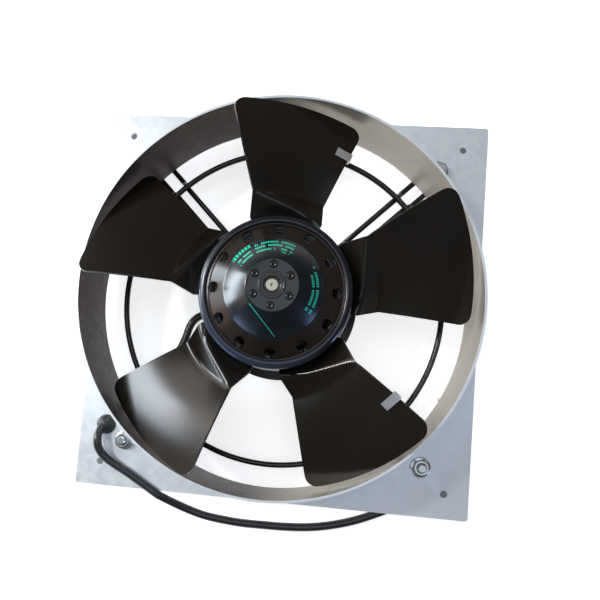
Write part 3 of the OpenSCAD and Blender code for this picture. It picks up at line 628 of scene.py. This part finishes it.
# %% Blade surface
IMPELLER_RADIUS = 125.0
CAN_RADIUS = 48.5
CAN_FOOT = 20.1
BLADE_SHEET = 1.5
HALF_ANGLE = 19.65
KINK_RADIUS = 66.0
KINK_PITCH, TIP_PITCH = 27.5, 21.2
MIDDLE_HEIGHT = CAN_FOOT + 44.7
ARCH, CAMBER, TIP_CORNER, NECK_FLARE = 3.4, 2.5, 8.0, 1.0
FOOT_HEIGHT = CAN_FOOT + 25.0
ATTACH_LOW, ATTACH_HIGH = CAN_FOOT + 39.0, CAN_FOOT + 44.0
BEND_RADIUS, FOLD_ROUND = 3.0, 1.6
FOOT_GAP, SHORTEST_RUN = 0.1, 0.03
FOOT_RADIUS = CAN_RADIUS + FOOT_GAP + BLADE_SHEET / 2
ROOT_RADIUS = FOOT_RADIUS + BEND_RADIUS
BLADE_ANGLES = [87, 159, 231, 303, 15]


def mix(a, b, share):
    return a + (b - a) * share


def edge_angle(r):
    """Half of the angle that the sheet covers at a radius, in degrees."""
    if r > KINK_RADIUS:
        return HALF_ANGLE
    flare = NECK_FLARE * (KINK_RADIUS - r) / (KINK_RADIUS - CAN_RADIUS)
    return math.degrees(math.asin((KINK_RADIUS * math.sin(math.radians(HALF_ANGLE)) + flare) / r))


def face_z(r, s):
    """Height of the wide blade. s is -1 at the deep edge and 1 at the high edge."""
    share = (r - KINK_RADIUS) / (IMPELLER_RADIUS - KINK_RADIUS)
    pitch = math.radians(mix(KINK_PITCH, TIP_PITCH, share))
    rise = r * math.radians(s * HALF_ANGLE) * math.tan(pitch)
    return MIDDLE_HEIGHT - ARCH * (2 * share - 1) ** 2 + rise - CAMBER * (1 - s * s)


def attach_z(s):
    return mix(ATTACH_LOW, ATTACH_HIGH, (s + 1) / 2)


def neck_z(r, s):
    """Height of the neck: up from the can to the ridge, then down or level to the blade."""
    ridge = mix(ROOT_RADIUS, KINK_RADIUS, ((s + 1) / 2) ** 2)
    top = mix(attach_z(-1), face_z(KINK_RADIUS, 1), (s + 1) / 2)
    if r < ridge:
        return mix(attach_z(s), top, (r - ROOT_RADIUS) / (ridge - ROOT_RADIUS))
    return mix(top, face_z(KINK_RADIUS, s), (r - ridge) / max(KINK_RADIUS - ridge, SHORTEST_RUN))


def sharp_z(r, s):
    if r < ROOT_RADIUS:
        return attach_z(s)
    return face_z(r, s) if r > KINK_RADIUS else neck_z(r, s)


def blade_z(r, s):
    return (sharp_z(r - FOLD_ROUND, s) + 2 * sharp_z(r, s) + sharp_z(r + FOLD_ROUND, s)) / 4


print("blade height at the tip:", round(blade_z(IMPELLER_RADIUS, -1), 1), "to",
      round(blade_z(IMPELLER_RADIUS, 1), 1), "mm")

# %% [markdown]
# ## From surface to sheet
# A pressed blade has rounded tip corners and a foot bent along the can. One column of points
# runs from the foot's lower edge to the tip, and many columns side by side make the sheet.
# They stand closer together at the two edges, where the corners are. A subdivision modifier
# would smooth the folds away, so the fine grid is made at once.

# %% Blades
def tip_radius(s):
    inset = (1 - abs(s)) * IMPELLER_RADIUS * math.radians(HALF_ANGLE)
    if inset > TIP_CORNER:
        return IMPELLER_RADIUS
    return IMPELLER_RADIUS - TIP_CORNER + math.sqrt(TIP_CORNER ** 2 - (TIP_CORNER - inset) ** 2)


def blade_column(s, foot_steps=6, bend_steps=5, neck_steps=24, span_steps=36):
    """Points from the foot's lower edge to the tip, at one place between the edges."""
    root = s * edge_angle(ROOT_RADIUS)
    low, high = FOOT_HEIGHT, attach_z(s) - BEND_RADIUS
    points = [polar(FOOT_RADIUS, root, mix(low, high, k / foot_steps)) for k in range(foot_steps)]
    for k in range(bend_steps):
        a = math.radians(90 * k / bend_steps)
        points.append(polar(FOOT_RADIUS + BEND_RADIUS * (1 - math.cos(a)), root,
                            high + BEND_RADIUS * math.sin(a)))
    radii = [mix(ROOT_RADIUS, KINK_RADIUS, k / neck_steps) for k in range(neck_steps)]
    radii += [mix(KINK_RADIUS, tip_radius(s), k / span_steps) for k in range(span_steps + 1)]
    return points + [polar(r, s * edge_angle(r), blade_z(r, s)) for r in radii]


def make_blade(number, angle, chord_steps=44):
    places = [-math.cos(math.pi * j / chord_steps) for j in range(chord_steps + 1)]
    columns = [blade_column(s) for s in places]
    turn = Matrix.Rotation(math.radians(angle), 3, "Z")
    grid = [[turn @ column[i] * MM for column in columns] for i in range(len(columns[0]))]
    blade = sheet_metal(f"pressed_blade_{number}", grid, BLADE_SHEET * MM)
    round_edges(blade, 0.35 * MM, 2, 50)
    return dress(blade, f"blade_{number}", "impeller")


blades = [make_blade(k + 1, angle) for k, angle in enumerate(BLADE_ANGLES)]
print("blades:", len(blades), "with", len(blades[0].data.vertices), "points each")

# %% [markdown]
# ## Turned bodies
# The can, the shaft, the nuts and the plate's nozzle are round. A screw modifier could turn a
# profile too, but here the profile may also change with the angle, which makes hexagons and
# the square plate with the same helper. Round holes are cut afterwards with a boolean.

# %% Turned bodies
ON_AXIS = 0.01


def turned(name, profile, angles, places=((0, 0, 0, 0),)):
    """Closed bodies turned about Z from a closed profile of (radius, height) in millimetres.

    The profile may be a function of the angle, for hexagons and squares. Each place is
    (x, y, z, turn), and the angles are a number of even steps or a list."""
    verts, faces = [], []
    if isinstance(angles, int):
        angles = [360 * k / angles for k in range(angles)]
    for x, y, z, turn in places:
        start = len(verts)
        for a in angles:
            outline = profile(a) if callable(profile) else profile
            verts += [(polar(r, a + turn, h) + Vector((x, y, z))) * MM for r, h in outline]
        faces += [tuple(start + v for v in face)
                  for face in grid_faces(len(angles), len(outline), True, True)]
    return new_piece(name, verts, faces)


def arc(cx, cz, radius, start, end, steps):
    """Points of an arc in a profile, by angles from the outward direction."""
    return [(cx + radius * math.cos(math.radians(start + (end - start) * k / steps)),
             cz + radius * math.sin(math.radians(start + (end - start) * k / steps)))
            for k in range(steps + 1)]


def drill(obj, holes, depth, steps=40):
    """Cuts round holes, each (x, y, top, radius) in millimetres, straight down into a piece."""
    verts, faces = [], []
    for x, y, top, radius in holes:
        start = len(verts)
        verts += [(Vector((x, y, z)) + polar(radius, 360 * k / steps, 0)) * MM
                  for z in (top - depth, top) for k in range(steps)]
        faces += [tuple(start + v for v in face)
                  for face in grid_faces(2, steps, closed_cols=True)]
        faces += [tuple(range(low, low + steps)) for low in (start, start + steps)]
    bits = new_piece("drill_bits", verts, faces)
    cut = obj.modifiers.new("drill", "BOOLEAN")
    cut.operation, cut.solver, cut.object = "DIFFERENCE", "EXACT", bits
    drilled = obj.evaluated_get(bpy.context.evaluated_depsgraph_get())
    mesh = bpy.data.meshes.new_from_object(drilled)
    obj.modifiers.clear()
    obj.data = mesh
    bpy.data.objects.remove(bits)
    return obj


print("turning helpers ready")

# %% [markdown]
# ## Rotor can
# The can is drawn from one round of sheet: wall, rounded rim, a shoulder with twelve holes, a
# cone and a flat disc, in which the rivets sit in shallow recesses. Its section is turned, and
# every edge is softened a little, because that is where a black part shows its light.

# %% Rotor can
RIM_Z, DISC_Z = CAN_FOOT + 52.0, CAN_FOOT + 71.0
RIM_ROUND, WALL = 4.0, 2.0
VENTS, VENT_PLACE, VENT_RADIUS, VENT_ANGLE = 12, 38.4, 3.4, 90.6
RIVETS, RIVET_PLACE, RECESS_RADIUS, RIVET_ANGLE = 6, 12.15, 2.7, 90
COLLAR, COLLAR_FIT = 8.3, 0.03


def around(count, radius, first):
    """Places on a circle, as (x, y)."""
    return [tuple(polar(radius, first + 360 * k / count, 0))[:2] for k in range(count)]


def make_can():
    hole, rim = COLLAR + COLLAR_FIT, CAN_RADIUS - RIM_ROUND
    outer = [(CAN_RADIUS, CAN_FOOT)] + arc(rim, RIM_Z - RIM_ROUND, RIM_ROUND, 0, 90, 16)
    outer += [(43.9, RIM_Z - 0.25), (SHOULDER_OUT, RIM_Z - 0.8), (42.9, RIM_Z - 1.35),
              (42.2, RIM_Z - 1.35), (41.4, RIM_Z - 0.75), (SHOULDER_IN, RIM_Z + 5.95),
              (30.5, RIM_Z + 6.5), (29.9, RIM_Z + 7.1), (16.4, DISC_Z - 0.35),
              (16.0, DISC_Z - 0.1), (15.4, DISC_Z), (hole, DISC_Z)]
    inner = [(hole, DISC_Z - WALL), (15, DISC_Z - WALL), (29.5, RIM_Z + 4.5),
             (42.6, RIM_Z - 3.5)]
    inner += arc(rim, RIM_Z - RIM_ROUND, RIM_ROUND - WALL, 90, 0, 8)
    inner += [(CAN_RADIUS - WALL, CAN_FOOT)]
    can = turned("drawn_can", outer + inner, 192)
    vents = around(VENTS, VENT_PLACE, VENT_ANGLE)
    drill(can, [(x, y, DISC_Z, VENT_RADIUS) for x, y in vents], DISC_Z - RIM_Z + 6)
    recesses = around(RIVETS, RIVET_PLACE, RIVET_ANGLE)
    drill(can, [(x, y, DISC_Z + 1, RECESS_RADIUS) for x, y in recesses], 2)
    return dress(round_edges(can, 0.7 * MM, 3, 40), "rotor_can", "impeller")


can = make_can()
print("can:", len(can.data.vertices), "points")

# %% [markdown]
# ## Bush, rivets and shaft
# A turned bush fills the can's middle and carries the ground shaft, and six rivets hold it to
# the disc. The rivets have a dished head, which catches a small ring of light. All three are
# turned from a section, since the construction's solids have too few facets for a close look.

# %% Bush, rivets and shaft
BUSH_BORE, BUSH_FOOT = 4.03, 70.1
SHAFT_RADIUS, SHAFT_LOW, RING_LOW, RING_HIGH = 4, 18.7, 20.1, 21.1


def make_bush():
    under = DISC_Z - WALL
    profile = [(BUSH_BORE, BUSH_FOOT), (5.6, BUSH_FOOT), (5.6, under - 4), (14.9, under - 4),
               (14.9, under), (COLLAR, under), (COLLAR, DISC_Z + 0.35),
               (COLLAR - 0.4, DISC_Z + 0.6), (6.9, DISC_Z + 0.6), (6.6, DISC_Z + 0.4),
               (5.4, DISC_Z + 0.4), (4.9, DISC_Z + 0.1), (4.9, DISC_Z - 0.9),
               (BUSH_BORE, DISC_Z - 0.9)]
    collar = round_edges(turned("hub_collar", profile, 128), 0.15 * MM, 2, 30)
    return dress(collar, "hub_bush", "impeller")


def make_rivets():
    seat, low = DISC_Z - 1, DISC_Z - WALL - 4
    profile = [(ON_AXIS, low - 0.9), (2.3, low - 0.9), (2.3, low), (1.5, low), (1.5, seat),
               (2.3, seat), (2.25, seat + 0.35), (1.9, seat + 0.75), (1.5, seat + 0.9),
               (1.1, seat + 0.8), (0.7, seat + 0.45), (ON_AXIS, seat + 0.4)]
    places = [(x, y, 0, 0) for x, y in around(RIVETS, RIVET_PLACE, RIVET_ANGLE)]
    heads = turned("rivet_heads", profile, 32, places)
    return dress(heads, "hub_rivets", "impeller")


def make_shaft():
    top = DISC_Z - 0.5
    profile = [(ON_AXIS, SHAFT_LOW), (3.6, SHAFT_LOW), (SHAFT_RADIUS, SHAFT_LOW + 0.4),
               (SHAFT_RADIUS, RING_LOW), (3.5, RING_LOW), (3.5, RING_HIGH),
               (SHAFT_RADIUS, RING_HIGH), (SHAFT_RADIUS, top - 0.5), (3.5, top), (0.9, top),
               (0.5, top - 0.5), (ON_AXIS, top - 0.6)]
    shaft = round_edges(turned("ground_shaft", profile, 96), 0.1 * MM, 2, 40)
    return dress(shaft, "rotor_shaft", "impeller")


hub_pieces = [make_bush(), make_rivets(), make_shaft()]
print("hub pieces:", [piece.name for piece in hub_pieces])

# %% [markdown]
# ## Nozzle plate
# Plate and nozzle are one pressing of galvanised sheet. A square with a ring joined to it would
# show a seam, so the whole pressing is turned, and its section is worked out for each
# direction: nozzle wall, rounded mouth, flat plate and the square's edge, which is further
# off at the corners.

# %% Nozzle plate
PLATE_HALF, CORNER = 140.0, 2.0
HOLE_PLACE, HOLE_RADIUS = 123, 2.5
BOLT_PLACE, BOLT_HOLE, GROMMET_HOLE = 150.0, 3.3, 5.4
ARM_ANGLES = [45, 135, 225, 315]
MOUTH_STEPS = 14


def plate_edge(degrees):
    """Distance from the axis to the edge of the square with rounded corners."""
    c, s = abs(math.cos(math.radians(degrees))), abs(math.sin(math.radians(degrees)))
    reach = PLATE_HALF / max(c, s)
    middle = PLATE_HALF - CORNER
    if min(reach * c, reach * s) > middle:
        toward = middle * (c + s)
        reach = toward + math.sqrt(toward ** 2 - 2 * middle ** 2 + CORNER ** 2)
    return reach


def plate_section(degrees):
    edge = plate_edge(degrees)
    inside = arc(MOUTH, BELL_Z, BELL_ROUND, 180, 270, MOUTH_STEPS)
    outside = arc(MOUTH, BELL_Z, BELL_ROUND - SHEET, 270, 180, MOUTH_STEPS)
    return [(NOZZLE, NOZZLE_TOP), *inside, (edge, PLATE_BACK), (edge, PLATE_FRONT), *outside,
            (NOZZLE + SHEET, NOZZLE_TOP)]


def make_plate():
    angles = sorted({round(a, 3) for a in [1.5 * k for k in range(240)]
                     + [c + 0.15 * k for c in ARM_ANGLES for k in range(-6, 7)]})
    plate = turned("pressed_plate", plate_section, angles)
    ends = (-HOLE_PLACE, HOLE_PLACE)
    holes = [(x, y, HOLE_RADIUS) for x in ends for y in ends]
    holes += [(*tuple(polar(BOLT_PLACE, a, 0))[:2], BOLT_HOLE) for a in ARM_ANGLES]
    holes += [(*GROMMET, GROMMET_HOLE)]
    drill(plate, [(x, y, PLATE_FRONT + 2, r) for x, y, r in holes], 6)
    return dress(round_edges(plate, 0.3 * MM, 2, 50), "nozzle_plate", "frame")


plate = make_plate()
print("plate:", len(plate.data.vertices), "points")

# %% [markdown]
# ## Wire arms and hoop
# Each arm is one wire, bent round its bolt like a hairpin and stepped up into the nozzle, and
# a wire hoop is welded across all four. Straight cylinders would meet in hard corners, so each
# wire is swept along its middle line, with the step eased in and out.

# %% Wire arms and hoop
WIRE_RADIUS = 2
ARM_ROOT, STEP_START, STEP_LENGTH, STEP_PARTS = 20, 113.5, 8, 12
INNER_HALF, INNER_Z = 4.85, 11.9
OUTER_HALF, OUTER_Z = 5.87, 7.6
HOOP_RADIUS, HOOP_Z = 113.4, 15.9


def arm_path(angle):
    """Middle line of an arm: out along one leg, round the bolt and back along the other."""
    def step(side, share):
        ease = share * share * (3 - 2 * share)
        return (STEP_START + STEP_LENGTH * share, side * mix(INNER_HALF, OUTER_HALF, ease),
                mix(INNER_Z, OUTER_Z, ease))

    shares = [k / STEP_PARTS for k in range(STEP_PARTS + 1)]
    points = [(ARM_ROOT, -INNER_HALF, INNER_Z)] + [step(-1, u) for u in shares]
    for degrees in range(-90, 91, 9):
        a = math.radians(degrees)
        points.append((BOLT_PLACE + OUTER_HALF * math.cos(a), OUTER_HALF * math.sin(a), OUTER_Z))
    points += [step(1, u) for u in reversed(shares)] + [(ARM_ROOT, INNER_HALF, INNER_Z)]
    turn = Matrix.Rotation(math.radians(angle), 3, "Z")
    return [turn @ Vector(point) * MM for point in points]


arms = wire_tube("hairpin_arms", [arm_path(a) for a in ARM_ANGLES], WIRE_RADIUS * MM)
hoop = turned("welded_hoop", arc(HOOP_RADIUS, HOOP_Z, WIRE_RADIUS, 0, 345, 23), 180)
dress(arms, "support_arms", "frame")
dress(hoop, "support_ring", "frame")
print("wire pieces:", arms.name, hoop.name)

# %% [markdown]
# ## Bolts and nuts
# The nuts have a flange and chamfered corners, and the bolt ends show their thread. A real
# helix would be lost at this size, so the thread is a row of turned rings, and the hexagons
# are turned bodies whose section changes with the angle.

# %% Bolts and nuts
FLATS, NUT_HEIGHT, NUT_BORE, FLANGE_RADIUS = 10, 6, 3.05, 7.1
NUT_CHAMFER, HEAD_CHAMFER, CHAMFER_SLOPE = 4.7, 4.6, 0.577
HEAD_HEIGHT, SHANK, THREAD_ROOT, BOLT_LENGTH = 4, 2.97, 2.66, 20
THREAD_LOW, THREAD_STEP, THREAD_POINTS = 5, 0.5, 29


def corner_distance(degrees):
    """Distance from the middle to the side of the hexagon, whose corner is at angle 0."""
    return FLATS / 2 / math.cos(math.radians(degrees % 60 - 30))


def bolt_places(z):
    return [(*tuple(polar(BOLT_PLACE, a, 0))[:2], z, a) for a in ARM_ANGLES]


def nut_section(degrees):
    corner = corner_distance(degrees)
    return [(NUT_BORE, 0), (FLANGE_RADIUS, 0), (FLANGE_RADIUS, 0.55), (6.7, 0.95),
            (corner + 0.02, 1.3), (corner, NUT_HEIGHT - (corner - NUT_CHAMFER) * CHAMFER_SLOPE),
            (NUT_CHAMFER, NUT_HEIGHT), (3.6, NUT_HEIGHT), (NUT_BORE, NUT_HEIGHT - 0.5)]


def bolt_section(degrees):
    corner = corner_distance(degrees)
    thread = [(THREAD_ROOT if k % 2 else SHANK, THREAD_LOW + k * THREAD_STEP)
              for k in range(THREAD_POINTS)]
    return [(ON_AXIS, 0), (HEAD_CHAMFER, 0), (corner, (corner - HEAD_CHAMFER) * CHAMFER_SLOPE),
            (corner, HEAD_HEIGHT), (SHANK, HEAD_HEIGHT), *thread, (2.7, BOLT_LENGTH - 0.5),
            (2.3, BOLT_LENGTH), (ON_AXIS, BOLT_LENGTH)]


nuts = turned("flange_nuts", nut_section, 96, bolt_places(PLATE_FRONT))
bolts = turned("threaded_bolts", bolt_section, 96, bolt_places(0))
dress(nuts, "arm_nuts", "frame")
dress(bolts, "arm_bolts", "frame")
for piece in (nuts, bolts):
    round_edges(piece, 0.12 * MM, 2, 25)
for name in ("arm_washers", "motor_screws", "motor_screw_washers", "balance_clips",
             "stator_flange"):
    round_edges(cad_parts[name], 0.15 * MM, 2, 50)
print("fasteners:", nuts.name, bolts.name)

# %% [markdown]
# ## Grommet and motor lead
# The rubber grommet is moulded round the lead: a dome in front of the plate, a groove that
# grips the plate and a flange behind it, all turned from one section. The lead comes to it
# from the motor, behind the plate, and is swept along its route like the supply lead.

# %% Grommet and motor lead
DOME_RADIUS, DOME_Z, GROMMET_LOW, GROMMET_TOP, GROOVE = 7.15, 9.95, 8.0, 17.1, 5.37
MOTOR_ROUTE = [
    (-45.3, -8, 8.6), (-50, -8.8, 8.6), (-56, -9.9, 8.6), (-60.6, -12, 8.6),
    (-64.4, -15.8, 8.6), (-66.8, -20.8, 8.5), (-68.4, -26.6, 8.3), (-71, -34, 8),
    (-76, -44, 7.3), (-84, -56, 6.4), (-94, -68, 5.6), (-104, -79, 4.9), (-110, -85, 4.6),
    (-114.1, -89.1, 4.9), (-116.1, -91.1, 5.6), (-118, -93, 6.9), (-119.7, -94.7, 8.8),
    (*GROMMET, 11.1),
]


def make_grommet():
    profile = [(ON_AXIS, GROMMET_LOW), (6.6, GROMMET_LOW), (7.1, GROMMET_LOW + 0.4),
               (DOME_RADIUS, PLATE_BACK), (GROOVE, PLATE_BACK), (GROOVE, PLATE_FRONT),
               (DOME_RADIUS, PLATE_FRONT), *arc(0, DOME_Z, DOME_RADIUS, 12, 86, 16),
               (ON_AXIS, GROMMET_TOP)]
    grommet = turned("domed_grommet", profile, 96, [(*GROMMET, 0, 0)])
    return dress(grommet, "cable_grommet", "frame")


motor_path = smooth_curve([Vector(p) * MM for p in MOTOR_ROUTE], 5)
motor_lead = wire_tube("lead_to_motor", [motor_path], LEAD_RADIUS)
dress(motor_lead, "motor_lead", "frame")
grommet = make_grommet()
print("leads:", supply_lead.name, motor_lead.name, "through", grommet.name)

# %% [markdown]
# ## Floor
# The fan lies on pale paper, which is lit and also glows a little, so that it stays even and
# lifts the plate. A wide plane is enough. The corner holes look dark on the real fan, because
# the floor under them lies in shade, so the paper has a painted shadow under each of them:
# darker paper that does not glow.

# %% Floor
FLOOR_HALF = 3.0
# Painted shadows on the paper under the four corner holes.
SHADOW_SPOT_X, SHADOW_SPOT_Y, SHADOW_SPOT_RADIUS, SHADOW_SPOT_FADE = 125, 127, 12, 3
PAPER_GLOW = 0.7


def make_floor():
    corners = [(-1, -1), (1, -1), (1, 1), (-1, 1)]
    floor = new_piece("floor", [(FLOOR_HALF * x, FLOOR_HALF * y, 0) for x, y in corners],
                      [(0, 1, 2, 3)])
    finish = Finish("floor_paper")
    x, y, _, _ = finish.millimetres()
    aside, along = abs(x) - SHADOW_SPOT_X, abs(y) - SHADOW_SPOT_Y
    # A painted shadow: darker paper without glow under each corner hole.
    painted_shadow = ((SHADOW_SPOT_RADIUS - (aside * aside + along * along).sqrt()) / SHADOW_SPOT_FADE).clamp()
    paper = finish.mix(finish.noise(3.0, 2.0), grey(0.86), grey(0.9))
    paint(floor, finish.surface(
        base_color=finish.mix(painted_shadow, paper, grey(0.25)),
        roughness=0.9,
        emission_color=finish.mix(painted_shadow, grey(1.0), grey(0.0)),
        emission_strength=PAPER_GLOW,
    ))
    floor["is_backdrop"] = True
    return floor


floor = make_floor()
print("floor:", floor.name)

# %% [markdown]
# ## Light
# Black coating is seen by what it mirrors, so the light is a room of soft rectangles and not
# one lamp: windows at -X make the long highlights on the blades, low bands light the nozzle
# and the can's rim, a warm wall and a wide ceiling fill in. The rest of the room is dim, so
# that black stays black.

# %% Light
ROOM_COLOR, ROOM_LEVEL = (1.0, 0.90, 0.80, 1.0), 0.14
AIM = Vector((0, 0, 0.03))
# (name, azimuth, elevation, distance, width and height in metres, watts, colour)
LIGHTS = [
    ("window", 166, 36, 1.4, (0.45, 0.32), 7.5, (0.80, 0.90, 1.0)),
    ("pale_wall", 150, 30, 1.4, (0.8, 0.5), 2.6, (1.0, 0.90, 0.80)),
    ("low_window", 172, 3, 1.3, (0.9, 0.24), 14.0, (0.80, 0.91, 1.0)),
    ("blue_window", 228, 3, 1.3, (0.8, 0.16), 4.0, (0.45, 0.65, 1.0)),
    ("brown_wall", 180, 17, 1.6, (1.6, 0.35), 2.0, (1.0, 0.72, 0.52)),
    ("second_window", -30, 5, 1.4, (0.4, 0.22), 6.0, (0.35, 0.50, 1.0)),
    ("ceiling", 60, 84, 1.6, (1.2, 1.2), 6.5, (0.80, 0.90, 1.0)),
    ("daylight", 159, 52, 1.6, (0.14, 0.14), 8.0, (1.0, 0.99, 0.96)),
]


def soft_light(name, azimuth, elevation, distance, size, watts, color):
    """A rectangle of light, turned to the fan from a direction in degrees."""
    data = bpy.data.lights.new(name, "AREA")
    data.shape, data.size, data.size_y = "RECTANGLE", *size
    data.energy, data.color = watts, color
    light = bpy.data.objects.new(name, data)
    bpy.context.scene.collection.objects.link(light)
    lift = math.radians(elevation)
    light.location = polar(distance * math.cos(lift), azimuth, distance * math.sin(lift))
    light.rotation_euler = (AIM - light.location).to_track_quat("-Z", "Y").to_euler()
    return light


def make_room():
    world = bpy.data.worlds.new("room")
    bpy.context.scene.world = world
    world.use_nodes = True
    background = world.node_tree.nodes["Background"]
    background.inputs["Color"].default_value = ROOM_COLOR
    background.inputs["Strength"].default_value = ROOM_LEVEL


make_room()
lights = [soft_light(*light) for light in LIGHTS]
bpy.context.scene.view_settings.view_transform = "Standard"
print("lights:", [light.name for light in lights])

# %% [markdown]
# ## Finish
# The finer pieces are meant to stay inside the construction's box, so both boxes are measured
# and the growth is printed. The boxes could be compared by eye in a render, but the growth in
# metres is plainer as numbers.

# %% Finish
dressed_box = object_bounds()
growth = [round(d - c, 4) for a, b in zip(cad_box, dressed_box) for c, d in zip(a, b)]
print("box grows by", growth)
